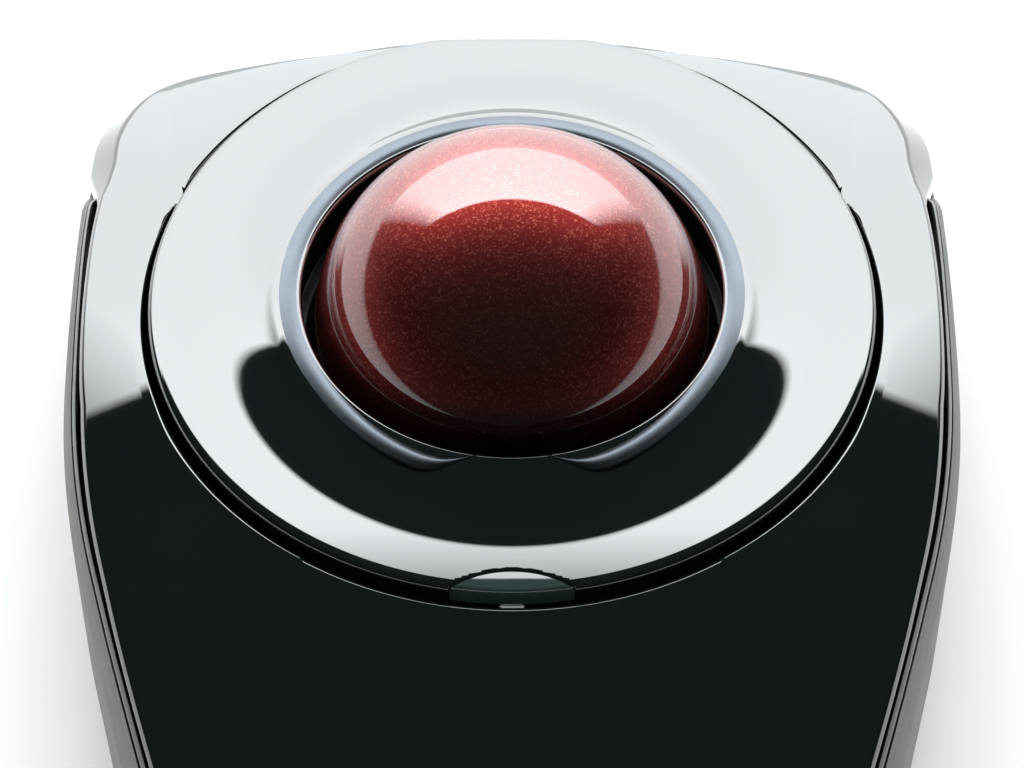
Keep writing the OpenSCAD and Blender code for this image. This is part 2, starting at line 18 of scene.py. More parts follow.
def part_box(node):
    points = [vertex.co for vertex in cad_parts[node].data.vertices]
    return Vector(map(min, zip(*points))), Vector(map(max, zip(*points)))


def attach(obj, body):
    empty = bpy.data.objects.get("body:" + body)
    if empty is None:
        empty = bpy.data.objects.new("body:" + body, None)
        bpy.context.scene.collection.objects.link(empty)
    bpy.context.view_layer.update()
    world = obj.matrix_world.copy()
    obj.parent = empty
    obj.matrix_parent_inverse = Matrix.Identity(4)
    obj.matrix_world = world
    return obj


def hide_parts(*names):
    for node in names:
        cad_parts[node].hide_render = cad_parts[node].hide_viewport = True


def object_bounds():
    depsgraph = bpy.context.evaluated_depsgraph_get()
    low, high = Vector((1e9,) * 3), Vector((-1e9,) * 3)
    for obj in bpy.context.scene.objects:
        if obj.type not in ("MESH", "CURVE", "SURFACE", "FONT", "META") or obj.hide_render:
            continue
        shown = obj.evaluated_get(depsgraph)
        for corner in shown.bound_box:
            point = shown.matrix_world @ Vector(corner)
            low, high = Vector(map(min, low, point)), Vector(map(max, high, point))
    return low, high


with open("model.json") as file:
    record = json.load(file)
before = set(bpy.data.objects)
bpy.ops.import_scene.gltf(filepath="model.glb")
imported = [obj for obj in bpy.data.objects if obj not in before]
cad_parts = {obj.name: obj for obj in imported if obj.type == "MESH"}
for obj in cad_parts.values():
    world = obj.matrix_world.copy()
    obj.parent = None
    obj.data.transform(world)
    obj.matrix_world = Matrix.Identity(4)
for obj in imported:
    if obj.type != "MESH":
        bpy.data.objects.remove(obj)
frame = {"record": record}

cad_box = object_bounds()
MM = 0.001
print("box in mm:", [[round(c / MM, 1) for c in corner] for corner in cad_box])

# %% [markdown]
# The top of the body is one big ball shaped dome, and the ring, the bezel and the ball all
# share an axis that runs through the dome's centre, leaning towards the nose. Two unit
# vectors describe that axis: `axis_up` along it and `axis_fore` across it, to the nose.
# Working in millimetres keeps the numbers readable; meshes are scaled once, at the end.

# %% Dome, axis and sizes in millimetres
half_l = cad_box[1][1] / MM
half_w = cad_box[1][0] / MM
dome_r, dome_top, dome_y = 97.0, 36.5, 10.0
dome_c = np.array([0.0, dome_y, dome_top - dome_r])
tilt = math.asin((30.0 - dome_y) / dome_r)
axis_up = np.array([0.0, math.sin(tilt), math.cos(tilt)])
axis_fore = np.array([0.0, math.cos(tilt), -math.sin(tilt)])
axis_side = np.array([1.0, 0.0, 0.0])

ball_lo, ball_hi = (np.array(c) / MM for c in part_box("ball"))
ball_c = (ball_lo + ball_hi) / 2
ball_r = (ball_hi[2] - ball_lo[2]) / 2
ring_r = 27.5
ring_edge = math.sqrt(dome_r**2 - ring_r**2) + 1.0
bezel_top = ring_edge + 1.3
bezel_in, bezel_out = ball_r + 0.85, 17.8
hole_r = ring_r + 0.45
skirt_h = 3.6
wing_y = 6.1


def on_axis(r, a, phi):
    """A point at radius r and height a on the ring's axis, phi from the nose to the right."""
    r, a, phi = np.broadcast_arrays(np.asarray(r, float), a, phi)
    return (dome_c + a[..., None] * axis_up + (r * np.cos(phi))[..., None] * axis_fore
            + (r * np.sin(phi))[..., None] * axis_side)


print("ball radius", round(ball_r, 2), "centre", ball_c.round(2),
      "tilt", round(math.degrees(tilt), 1))

# %% [markdown]
# Seen from above, the body is an egg cut flat at the nose. The outline is found along rays
# from the middle. From the nose back its pieces are the nose arc, a tight corner, the long
# front of the side, the side's rounder arc, the palm's straight and the tail's arc, and
# each meets the next in a common tangent.

# %% The outline in plan
side_r, side_y, front_r, nose_r, corner_r = 75.0, 24.0, 400.0, 260.0, 6.5
palm_a = math.radians(13.0)
palm_k = (half_w - side_r) * math.cos(palm_a) - side_y * math.sin(palm_a) + side_r
tail_r = (palm_k - half_l * math.sin(palm_a)) / (1 - math.sin(palm_a))
tail_y = tail_r - half_l
nose_c, front_c = np.array([0.0, half_l - nose_r]), np.array([half_w - front_r, side_y])


def corner_centre():
    d = np.linalg.norm(front_c - nose_c)
    m, n = nose_r - corner_r, front_r - corner_r
    t, u = (m * m - n * n + d * d) / (2 * d), (front_c - nose_c) / d
    return nose_c + t * u + math.sqrt(m * m - t * t) * np.array([u[1], -u[0]])


corner_c = corner_centre()


def touch_angle(c, r):
    p = c + r * (corner_c - c) / np.linalg.norm(corner_c - c)
    return math.atan2(p[1], p[0])


def ray_circle(y, x, r, a):
    b = x * np.cos(a) + y * np.sin(a)
    return b + np.sqrt(np.maximum(b * b - (x * x + y * y - r * r), 0))


def fold(a):
    """The same ray on the right hand half, between -90 and 90 degrees."""
    a = np.arctan2(np.sin(a), np.cos(a))
    return np.where(np.abs(a) <= np.pi / 2, a, np.where(a > 0, np.pi - a, -np.pi - a))


arcs = [(math.atan2(tail_y - tail_r * math.sin(palm_a), tail_r * math.cos(palm_a)),
         np.array([0.0, tail_y]), tail_r),
        (math.atan2(side_y - side_r * math.sin(palm_a),
                    half_w - side_r + side_r * math.cos(palm_a)), None, palm_k),
        (math.atan2(side_y, half_w), np.array([half_w - side_r, side_y]), side_r),
        (touch_angle(front_c, front_r), front_c, front_r),
        (touch_angle(nose_c, nose_r), corner_c, corner_r),
        (math.pi, nose_c, nose_r)]


def outline(a):
    """Distance from the middle to the outline along the ray at angle a."""
    m = fold(np.asarray(a, float))
    kinds, values = [], []
    for until, centre, r in arcs:
        kinds.append(m <= until)
        values.append(r / (np.cos(m) * math.cos(palm_a) - np.sin(m) * math.sin(palm_a))
                      if centre is None else ray_circle(centre[1], centre[0], r, m))
    return np.select(kinds, values)


def inset(p):
    """How far a plan point lies inside the outline, square to it, in millimetres."""
    a, d = np.arctan2(p[..., 1], p[..., 0]), np.hypot(p[..., 0], p[..., 1])
    step = 0.004
    slope = (outline(a + step) - outline(a - step)) / (2 * step)
    r = outline(a)
    return (r - d) * r / np.hypot(r, slope)


def on_outline(a):
    r = outline(a)
    return np.stack([r * np.cos(a), r * np.sin(a)], -1)


def dome_z(p, r=dome_r):
    return dome_c[2] + np.sqrt(r * r - p[..., 0]**2 - (p[..., 1] - dome_y)**2)


print("tail radius", round(tail_r, 2), "width at the palm",
      round(2 * float(on_outline(np.array(-0.6))[0]), 1))

# %% [markdown]
# Every mesh here is made from rows of points, so two helpers do the work. `grid_faces` turns a
# grid of points into faces, wrapping round where asked, and `finish_piece` makes the
# object, welds its doubles, turns its faces outwards, names its material, hangs it on an
# empty for the body it rides on and hides the CAD nodes it stands for.

# %% Mesh helpers
materials = {}


def grid_faces(rows, cols, wrap_rows=False, wrap_cols=False, start=0):
    faces = []
    for i in range(rows if wrap_rows else rows - 1):
        for j in range(cols if wrap_cols else cols - 1):
            u, v = i % rows, (i + 1) % rows
            k = (j + 1) % cols
            faces.append((start + u * cols + j, start + v * cols + j,
                          start + v * cols + k, start + u * cols + k))
    return faces


def finish_piece(name, verts, faces, slot, body, nodes=(), sharp=35.0, weld=1e-6):
    mesh = bpy.data.meshes.new(name)
    mesh.from_pydata([tuple(v) for v in np.asarray(verts) * MM], [], faces)
    bm = bmesh.new()
    bm.from_mesh(mesh)
    bmesh.ops.remove_doubles(bm, verts=bm.verts, dist=weld)
    bmesh.ops.dissolve_degenerate(bm, edges=bm.edges, dist=weld)
    bmesh.ops.recalc_face_normals(bm, faces=bm.faces)
    for f in bm.faces:
        f.smooth = True
    for e in bm.edges:
        if len(e.link_faces) == 2 and e.calc_face_angle(0.0) > math.radians(sharp):
            e.smooth = False
    bm.to_mesh(mesh)
    bm.free()
    obj = bpy.data.objects.new(name, mesh)
    bpy.context.scene.collection.objects.link(obj)
    settle(obj, slot, body, nodes)
    return obj


def settle(obj, slot, body, nodes=()):
    """The last lines of every piece: material, body, nodes it stands for, slot."""
    obj.data.materials.clear()
    obj.data.materials.append(materials[slot])
    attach(obj, body)
    if nodes:
        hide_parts(*nodes)
    print(f"{obj.name}: {len(obj.data.vertices)} points, rides on {body}")


def loft(name, rings, slot, body, nodes=(), closed=False, sharp=35.0):
    """Rows of closed profiles joined into a tube, with flat ends unless it closes on itself."""
    rings = np.asarray(rings)
    rows, cols = rings.shape[:2]
    faces = grid_faces(rows, cols, wrap_rows=closed, wrap_cols=True)
    if not closed:
        faces.append(tuple(range(cols)))
        faces.append(tuple((rows - 1) * cols + j for j in range(cols)))
    return finish_piece(name, rings.reshape(-1, 3), faces, slot, body, nodes, sharp)


def rounded(points, radius, steps=5):
    """A polyline whose inner corners are replaced by short curves."""
    points = [np.array(p, float) for p in points]
    out = [points[0]]
    for a, b, c in zip(points, points[1:], points[2:]):
        cut = min(radius, 0.45 * np.linalg.norm(a - b), 0.45 * np.linalg.norm(c - b))
        p = b + (a - b) / np.linalg.norm(a - b) * cut
        q = b + (c - b) / np.linalg.norm(c - b) * cut
        for t in np.linspace(0, 1, steps):
            out.append((1 - t)**2 * p + 2 * t * (1 - t) * b + t * t * q)
    out.append(points[-1])
    return np.array(out)


# %% [markdown]
# ## Materials
# Every finish is made from nodes. A small class wraps a socket so that shader maths can be
# written as an expression, and one method adds any other node, with its settings first and
# its sockets after. What varies over a surface only feeds colour, roughness, metal or bump.

# %% Shader expressions
class Value:
    """A socket that can be added, multiplied and compared like a number."""

    def __init__(self, sheet, socket):
        self.sheet, self.socket = sheet, socket

    def _math(self, kind, a, b=None):
        return self.sheet.node("ShaderNodeMath", {"operation": kind},
                               {0: a} if b is None else {0: a, 1: b})

    def __add__(self, o): return self._math("ADD", self, o)
    def __radd__(self, o): return self._math("ADD", o, self)
    def __sub__(self, o): return self._math("SUBTRACT", self, o)
    def __rsub__(self, o): return self._math("SUBTRACT", o, self)
    def __mul__(self, o): return self._math("MULTIPLY", self, o)
    def __rmul__(self, o): return self._math("MULTIPLY", o, self)
    def __truediv__(self, o): return self._math("DIVIDE", self, o)
    def __gt__(self, o): return self._math("GREATER_THAN", self, o)
    def __lt__(self, o): return self._math("LESS_THAN", self, o)
    def power(self, o): return self._math("POWER", self, o)
    def size(self): return self._math("ABSOLUTE", self)
    def clamp(self): return self.sheet.node("ShaderNodeClamp", {}, {0: self})


class Sheet:
    """The node tree of one material, with a Principled shader at its end."""

    def __init__(self, slot):
        self.material = bpy.data.materials.new(slot)
        self.material.use_nodes = True
        self.tree = self.material.node_tree
        self.tree.nodes.clear()
        out = self.tree.nodes.new("ShaderNodeOutputMaterial")
        self.shader = self.tree.nodes.new("ShaderNodeBsdfPrincipled")
        self.tree.links.new(self.shader.outputs[0], out.inputs[0])
        self.point = self.node("ShaderNodeTexCoord", {}, {}, "Object")
        materials[slot] = self.material

    def put(self, socket, value):
        if isinstance(value, Value):
            self.tree.links.new(value.socket, socket)
        else:
            socket.default_value = value

    def node(self, kind, settings, inputs, output=0):
        n = self.tree.nodes.new(kind)
        for key, value in settings.items():
            if key == "stops":
                while len(n.color_ramp.elements) < len(value):
                    n.color_ramp.elements.new(0.5)
                for element, (place, colour) in zip(n.color_ramp.elements, value):
                    element.position, element.color = place, (*colour, 1)
            else:
                setattr(n, key, value)
        for key, value in inputs.items():
            self.put(n.inputs[key], value)
        return Value(self, n.outputs[output])

    def set(self, **sockets):
        for key, value in sockets.items():
            name = key.replace("_", " ").title().replace("Ior", "IOR")
            if isinstance(value, tuple) and len(value) == 3:
                value = (*value, 1)
            self.put(self.shader.inputs[name], value)

    def noise(self, scale, detail=2.0, rough=0.5, vector=None):
        return self.node("ShaderNodeTexNoise", {}, {
            "Vector": vector or self.point, "Scale": scale, "Detail": detail,
            "Roughness": rough})

    def cells(self, scale, output="Distance", feature="F1"):
        return self.node("ShaderNodeTexVoronoi", {"feature": feature},
                         {"Vector": self.point, "Scale": scale}, output)

    def mix(self, factor, a, b):
        return self.node("ShaderNodeMix", {"data_type": "RGBA"},
                         {0: factor, 6: _rgba(a), 7: _rgba(b)}, 2)

    def bump(self, height, strength, distance):
        self.put(self.shader.inputs["Normal"], self.node("ShaderNodeBump", {}, {
            "Height": height, "Strength": strength, "Distance": distance}))


def _rgba(c):
    return (*c, 1) if isinstance(c, tuple) and len(c) == 3 else c


# %% [markdown]
# The cover and the scroll ring are moulded in black and polished to a piano finish. Real
# piano black is never a perfect mirror: the mould leaves a very slight waviness, handling
# leaves faint hairlines, and a clear hard coat lies on top.

# %% Piano black
def piano_black(slot, colour):
    s = Sheet(slot)
    smear = s.noise(55.0, 3.0, 0.6)
    hair = s.noise(900.0, 2.0, 0.5, s.node("ShaderNodeMapping", {}, {
        "Vector": s.point, "Scale": (1.0, 0.05, 1.0), "Rotation": (0, 0, 0.5)}))
    s.set(base_color=s.mix(smear, colour, tuple(c * 1.5 for c in colour)),
          roughness=0.028 + smear * 0.02 + (hair > 0.68) * 0.02,
          specular_ior_level=0.75, coat_weight=1.0, coat_roughness=0.02, coat_ior=1.6)
    s.bump(s.noise(180.0, 1.0, 0.5), 0.03, 0.00002)
    return s


piano_black("gloss_black", (0.0022, 0.0032, 0.0036))

# %% [markdown]
# The bezel is satin metal: dark plating over fine turning marks that run round the ring.
# The distance from the tilted axis and the height along it come from the point itself, and
# noise that reads only those two is the same all the way round, which gives the marks.

# %% Satin chrome
def satin_chrome(slot, colour):
    s = Sheet(slot)
    local = s.node("ShaderNodeMapping", {"vector_type": "TEXTURE"}, {
        "Vector": s.point, "Location": tuple(dome_c * MM), "Rotation": (-tilt, 0, 0)})
    split = s.tree.nodes.new("ShaderNodeSeparateXYZ")
    s.tree.links.new(local.socket, split.inputs[0])
    x, y, z = (Value(s, split.outputs[i]) for i in range(3))
    radius = (x * x + y * y).power(0.5)
    lines = s.noise(60.0, 4.0, 0.7, s.node("ShaderNodeCombineXYZ", {}, {
        0: radius * 260.0, 1: z * 260.0, 2: 0.0}))
    cloud = s.noise(420.0, 3.0, 0.6)
    s.set(metallic=1.0, base_color=s.mix(cloud, colour, tuple(c * 0.86 for c in colour)),
          roughness=0.20 + lines * 0.12 + cloud * 0.05)
    s.bump(lines, 0.12, 0.00002)
    return s


satin_chrome("satin_chrome", (0.10, 0.112, 0.128))

# %% [markdown]
# The ball is ruby resin full of metal flake, polished like a billiard ball. Two layers
# of tiny cells at different sizes give flakes that catch the light at their own angles,
# and a thick clear coat keeps the outer reflection sharp over the soft glow beneath.

# %% Ruby flake
def ruby_flake(slot, colour):
    s = Sheet(slot)
    pick = s.node("ShaderNodeSeparateColor", {}, {0: s.cells(9000.0, "Color")})
    other = s.node("ShaderNodeSeparateColor", {}, {0: s.cells(6000.0, "Color")}, 1)
    bright = (pick > 0.78) * other
    body = s.mix(s.noise(90.0, 2.0), colour, tuple(c * 0.8 for c in colour))
    s.set(base_color=s.mix(bright * 0.5, body, (0.85, 0.24, 0.16)), metallic=1.0,
          roughness=0.40 + pick * 0.10 - bright * 0.08,
          coat_weight=1.0, coat_roughness=0.012, coat_ior=1.95)
    s.bump(pick * 0.6 + other * 0.4, 0.22, 0.00002)
    return s


ruby_flake("ruby_resin", (0.26, 0.020, 0.018))

# %% [markdown]
# The other finishes share a recipe: a base colour with soft mottling, a roughness that
# varies with it, and a bump at the scale of the real texture. Rubber and the spark eroded
# housing use fine cells, metal uses drawn lines, boards carry copper under green lacquer.

# %% Plastics, rubber, metals and boards
def moulded(slot, colour, rough, grain, depth, spread=0.25, coat=0.0, metal=0.0):
    s = Sheet(slot)
    tone = s.noise(120.0, 3.0)
    pits = s.cells(grain)
    s.set(base_color=s.mix(tone, colour, tuple(c * (1 - spread) for c in colour)),
          roughness=rough + tone * 0.08 - pits * 0.05, metallic=metal, coat_weight=coat)
    s.bump(pits + s.noise(grain * 2.2, 2.0) * 0.5, 0.35, depth)
    return s


def drawn_metal(slot, colour, rough, stretch=(1.0, 0.04, 1.0)):
    s = Sheet(slot)
    lines = s.noise(2600.0, 3.0, 0.6, s.node("ShaderNodeMapping", {}, {
        "Vector": s.point, "Scale": stretch}))
    s.set(base_color=s.mix(lines, colour, tuple(c * 0.8 for c in colour)), metallic=1.0,
          roughness=rough + lines * 0.14)
    s.bump(lines, 0.15, 0.00001)
    return s


def circuit_board(slot, colour):
    s = Sheet(slot)
    tracks = s.node("ShaderNodeTexWave", {"bands_direction": "DIAGONAL"}, {
        "Vector": s.point, "Scale": 260.0, "Distortion": 6.0, "Detail": 0.0})
    line = (tracks > 0.62) * (s.noise(220.0, 0.0) > 0.48)
    s.set(base_color=s.mix(line * 0.7, colour, (0.10, 0.30, 0.11)),
          roughness=0.32 + line * 0.08, coat_weight=0.4)
    s.bump(line, 0.3, 0.00003)
    return s


def cell_jacket(slot, colour):
    s = Sheet(slot)
    split = s.tree.nodes.new("ShaderNodeSeparateXYZ")
    s.tree.links.new(s.point.socket, split.inputs[0])
    along = Value(s, split.outputs[1])
    band = (along > -0.0135) * (along < -0.006)
    s.set(base_color=s.mix(band, colour, (0.62, 0.35, 0.08)), metallic=0.6,
          roughness=0.28 + s.noise(300.0) * 0.1, coat_weight=0.5)
    s.bump(s.noise(700.0), 0.05, 0.00002)
    return s


moulded("trim_grey", (0.21, 0.22, 0.215), 0.30, 2600.0, 0.00001, coat=0.3, metal=0.35)
moulded("grip_grey", (0.185, 0.19, 0.18), 0.62, 2900.0, 0.00005)
moulded("housing_black", (0.022, 0.023, 0.025), 0.48, 2400.0, 0.00004)
moulded("foot_rubber", (0.016, 0.016, 0.016), 0.55, 1600.0, 0.00003)
moulded("knob_grey", (0.42, 0.43, 0.42), 0.42, 2200.0, 0.00002)
moulded("white_plastic", (0.74, 0.74, 0.72), 0.38, 1800.0, 0.00001, spread=0.05)
moulded("chip_black", (0.014, 0.014, 0.015), 0.5, 3000.0, 0.00001)
moulded("switch_black", (0.02, 0.02, 0.02), 0.42, 2600.0, 0.00002)
moulded("plunger_red", (0.40, 0.04, 0.025), 0.4, 2200.0, 0.00001)
moulded("clear_plastic", (0.70, 0.74, 0.74), 0.08, 1500.0, 0.00001, spread=0.04, coat=0.6)
moulded("smoked_window", (0.022, 0.034, 0.034), 0.06, 1500.0, 0.000004, coat=1.0)
drawn_metal("screw_steel", (0.52, 0.52, 0.54), 0.28)
drawn_metal("plug_steel", (0.64, 0.65, 0.67), 0.24)
drawn_metal("contact_nickel", (0.66, 0.64, 0.60), 0.22)
drawn_metal("bearing_steel", (0.82, 0.83, 0.86), 0.08, (1.0, 1.0, 1.0))
drawn_metal("electrode_copper", (0.72, 0.36, 0.18), 0.26)
circuit_board("board_green", (0.012, 0.11, 0.045))
cell_jacket("cell_jacket", (0.30, 0.31, 0.33))
print("materials:", sorted(materials))

# %% [markdown]
# ## The glossy cover
# The cover is one moulding: a palm, and two flanks that bend down when they are pressed.
# Its edge first breaks over a soft crease, rolls down a bevel that widens at the nose's
# corners, and ends in a short skirt. Beside the side strips the bevel is narrow and the
# drop below it almost straight. `edge_drop` gives the depth below the dome at any
# inset from the outline, so the ring's front can roll over the nose in the same way.

# %% The rolled edge
def smooth(t):
    t = np.clip(t, 0, 1)
    return t * t * (3 - 2 * t)


def ray_y(a):
    return outline(a) * np.sin(a)


def on_flank(a):
    """1 beside the trim and grip, 0 round the nose and the tail."""
    return smooth((46.5 - np.abs(ray_y(a))) / 4.5)


nose_bevel, side_bevel, corner_bevel = 0.6, 1.7, 1.1
side_from, side_run = 65.5, 9
corner_at, corner_spread = 57, 4.5


def crease(a):
    """Distance of the crease inside the outline, along the ray at angle a."""
    m, y = np.degrees(fold(a)), ray_y(a)
    bevel = (nose_bevel + side_bevel * smooth((side_from - m) / side_run)
             + corner_bevel * np.exp(-((m - corner_at) / corner_spread)**2))
    palm = 1.2 * smooth((4 - y) / 34) * smooth((y + 54) / 14)
    return 0.05 + 0.77 * bevel + palm


wide_line = rounded([(3.4, 0.0), (1.0, 0.0), (0.16, 2.1), (0.05, 3.2)], 0.20, 9)
thin_line = rounded([(3.4, 0.0), (1.0, 0.0), (0.84, 0.36), (0.82, 3.2)], 0.10, 9)
thin_span = 1.9
thin_in = 0.16 * thin_span


def edge_lines(a):
    """Inset and depth along the edge's section, blended from the narrow bevel to the wide."""
    w = np.asarray(on_flank(a))[..., None]
    c = np.asarray(crease(a))[..., None]
    q_thin = c - (1 - thin_line[:, 0]) * thin_span
    q = w * q_thin + (1 - w) * wide_line[:, 0] * c
    d = w * thin_line[:, 1] + (1 - w) * wide_line[:, 1]
    return q, d


def edge_drop(q, a):
    """Depth of the edge below the dome, q being the inset and a the ray's angle."""
    q, a = np.broadcast_arrays(np.asarray(q, float), a)
    line_q, line_d = edge_lines(a)
    flat = [np.interp(-v, -row_q, row_d) for v, row_q, row_d in
            zip(q.ravel(), line_q.reshape(-1, line_q.shape[-1]),
                line_d.reshape(-1, line_d.shape[-1]))]
    return np.array(flat).reshape(q.shape)


def hole_point(phi):
    return on_axis(hole_r, math.sqrt(dome_r**2 - hole_r**2), phi)[..., :2]


def cover_grid(inner, outer):
    """Rows from the ring's hole to the skirt's lower edge, one for each pair of ends."""
    a = np.arctan2(outer[:, 1], outer[:, 0])
    room = np.maximum(inset(inner), 0.05)
    slope = inset(outer + (inner - outer) * 0.02) / 0.02
    q, d = edge_lines(a)
    shrink = np.minimum(1.0, room * 0.85 / q[:, 0])
    q = q * shrink[:, None]
    edge_p = outer[:, None] + (inner - outer)[:, None] * (q / slope[:, None])[..., None]
    start = edge_p[:, 0]
    lengths = np.maximum(np.linalg.norm(start - inner, axis=1), 1e-3)
    near = np.minimum(lip_d[None, :], lengths[:, None] * (lip_d / lip_d[-1] * 0.3)[None, :])
    f = near / lengths[:, None]
    f = np.concatenate([f, f[:, -1:] + (1 - f[:, -1:]) * np.linspace(0, 1, 34)[None, 1:-1]], 1)
    flat_p = inner[:, None] + (start - inner)[:, None] * f[..., None]
    drop = np.concatenate([np.zeros(f.shape), d], 1)
    drop[:, :len(lip_z)] += lip_z
    p = np.concatenate([flat_p, edge_p], 1)
    top = np.concatenate([p, (dome_z(p) - drop)[..., None]], -1)
    foot = top[:, -1:].copy()
    foot[..., 2] -= skirt_h - d[0, -1]
    top = np.concatenate([top, foot], 1)
    out = np.stack([np.cos(a), np.sin(a), 0 * a], -1)[:, None]
    up = (top - dome_c) / np.linalg.norm(top - dome_c, axis=-1, keepdims=True)
    turn_down = np.concatenate([drop, np.full((len(a), 1), 3.0)], 1)
    w = np.clip(turn_down / (2.4 - 1.9 * on_flank(a))[:, None], 0, 1)[..., None]
    w[:, :len(lip_z)] = 0
    n = up * (1 - w) + out * w
    return top, top - n / np.linalg.norm(n, axis=-1, keepdims=True) * 0.9


lip_d = np.array([0.0, 0.10, 0.24, 0.42, 0.62])
lip_z = np.array([0.42, 0.24, 0.10, 0.025, 0.0])


def shell_piece(name, inner, outer, body, nodes):
    top, under = cover_grid(inner, outer)
    rows, cols = top.shape[:2]
    loop = np.concatenate([top, under[:, ::-1]], 1)
    return loft(name, loop, "gloss_black", body, nodes, sharp=50.0)


# %% [markdown]
# The sheet is drawn as rows that start on the ring's hole and end on the outline. The
# flanks and the palm share the row at the living hinge, point for point, so no seam shows
# there at rest; a pressed flank is rigid and cuts slightly into the palm's edge. Behind
# that row a fan of rows leaves the same point of the hole, and then the rows swing round
# the tail.

# %% Palm and click flanks
angles = np.linspace(0.02, math.pi, 4000)
holes = hole_point(angles)
phi_seam = float(np.interp(-wing_y, -holes[:, 1], angles))
phi_nose = float(angles[np.argmax(inset(holes) > 0.35)])
ray = np.linspace(-math.pi / 2, math.pi / 2, 4000)
ray_seam = float(np.interp(wing_y, (outline(ray) * np.sin(ray)), ray))
nose_tip = hole_point(np.array(phi_nose))
ray_nose = math.atan2(nose_tip[1], nose_tip[0])
ray_fan = math.radians(-20.0)
ease = 0.5 - 0.5 * np.cos(np.linspace(0, math.pi, 121))

flank_in = hole_point(phi_nose + (phi_seam - phi_nose) * ease)
flank_out = on_outline(ray_nose + (ray_seam - ray_nose) * ease)
fan_out = on_outline(np.linspace(ray_seam, ray_fan, 28))
fan_in = np.repeat(flank_in[-1:], len(fan_out), 0)
turn = np.linspace(0, 1, 110)[1:]
tail_in = hole_point(phi_seam + (math.pi - phi_seam) * turn)
tail_out = on_outline(ray_fan + (-math.pi / 2 - ray_fan) * turn)
half_in, half_out = np.concatenate([fan_in, tail_in]), np.concatenate([fan_out, tail_out])
mirror = np.array([-1.0, 1.0])
palm_in = np.concatenate([half_in, half_in[-2::-1] * mirror])
palm_out = np.concatenate([half_out, half_out[-2::-1] * mirror])

shell_piece("palm_cover_gloss", palm_in, palm_out, "chassis", ["palm_cover"])
shell_piece("right_click_wing", flank_in, flank_out, "right_wing", ["right_button"])
shell_piece("left_click_wing", flank_in * mirror, flank_out * mirror, "left_wing",
            ["left_button"])

# %% [markdown]
# ## The touch scroll ring
# A finger runs round a level channel that banks up towards the bezel. The profile
# is turned about the leaning axis; where it would pass the nose it is drawn in to the
# outline and rolls over the edge, down to the line of the cover's skirt.

# %% Ring profile and its turn
lip_r, bank_r = 18.3, 23.6
tip_from, tip_to, tip_swing = 5.5, 24.0, 0.8
rim_line = rounded([(26.0, 0.0), (27.22, 0.0), (27.5, -0.32), (27.5, -0.7)], 0.25, 7)


def ring_height(r):
    """Height of the touch surface over the ring's edge plane; it runs on under the bezel."""
    return np.interp(r, rim_line[:, 0], rim_line[:, 1]) + rise_line(r)


def rise_line(r):
    """The channel's inner bank: it steepens to the lip, then eases off under the bezel."""
    rows = np.linspace(27.5, 15.9, 600)
    bank = 0.37 * np.clip((bank_r - rows) / (bank_r - lip_r), 0, 1)**1.2
    slope = 0.07 * smooth((19.0 - rows) / 1.0) + bank * smooth((rows - 17.2) / 1.2)
    height = np.concatenate([[0], np.cumsum(0.5 * (slope[1:] + slope[:-1]))])
    height = height * (rows[0] - rows[1])
    height -= 0.2 * np.clip((16.15 - rows) / 0.25, 0, 1)**2
    return np.interp(-r, -rows, height)


radii = np.concatenate([np.linspace(15.9, 18.4, 34), np.linspace(18.5, 26.9, 64),
                        rim_line[3:-2, 0], [27.5]])
phis = np.linspace(0, 2 * math.pi, 361)[:-1]
probe = np.linspace(20.0, ring_r, 400)
reach = np.array([np.interp(-0.3, -inset(on_axis(probe, ring_edge, p)[:, :2]), probe)
                  if inset(on_axis(ring_r, ring_edge, p)[None, :2])[0] < 0.3 else ring_r
                  for p in phis])


def ring_rows():
    rows = []
    for phi, limit in zip(phis, reach):
        r = np.where(radii > 19, 19 + (radii - 19) * (limit - 19) / (ring_r - 19), radii)
        p = on_axis(r, ring_edge + ring_height(r), phi)
        a = np.arctan2(p[:, 1], p[:, 0])
        p[:, 2] -= edge_drop(np.maximum(inset(p[:, :2]), 0.1), a)
        low = on_axis(limit, ring_edge - 3.4, phi)
        depth = np.clip((ring_r - limit) / 0.8, 0, 1)
        bottom = p[-1].copy()
        bottom[2] = min(low[2], (1 - depth) * low[2]
                        + depth * (float(dome_z(p[-1, :2])) - skirt_h))
        wall = p[-1] + (bottom - p[-1]) * np.linspace(0, 1, 7)[1:, None]
        under = on_axis(np.array([limit - 1.6, 16.2]), ring_edge - 3.4, phi)
        rows.append(np.concatenate([p, wall, under]))
    return np.array(rows)


ring = loft("scroll_ring_gloss", ring_rows(), "gloss_black", "chassis", ["scroll_ring"],
            closed=True, sharp=60.0)


# %% [markdown]
# A small smoked window sits in the ring's rear edge, over the status lamp. Its seat is cut
# from the ring with a boolean, and the window itself is a lens: one side follows the
# ring's edge, the other a smaller arc, and its top is slightly domed.

# %% Status window
window_r, window_y = 7.7, ring_r + 5.6


def lens_outline(grow, count=40):
    """Points round the lens, in the ring's own plane: x to the side, y from the axis."""
    r_out, r_in = ring_r + grow, window_r + grow
    cos_half = (r_out**2 + window_y**2 - r_in**2) / (2 * r_out * window_y)
    half = math.acos(cos_half)
    outer = [(r_out * math.sin(t), -r_out * math.cos(t)) for t in np.linspace(-half, half, count)]
    reach_x = r_out * math.sin(half)
    turn_in = math.asin(min(1.0, reach_x / r_in))
    inner = [(r_in * math.sin(t), -window_y + r_in * math.cos(t))
             for t in np.linspace(turn_in, -turn_in, count)]
    return np.array(outer + inner[1:-1])


def plane_point(xy, height):
    phi = np.arctan2(xy[:, 0], xy[:, 1])
    return on_axis(np.hypot(xy[:, 0], xy[:, 1]), height, phi)


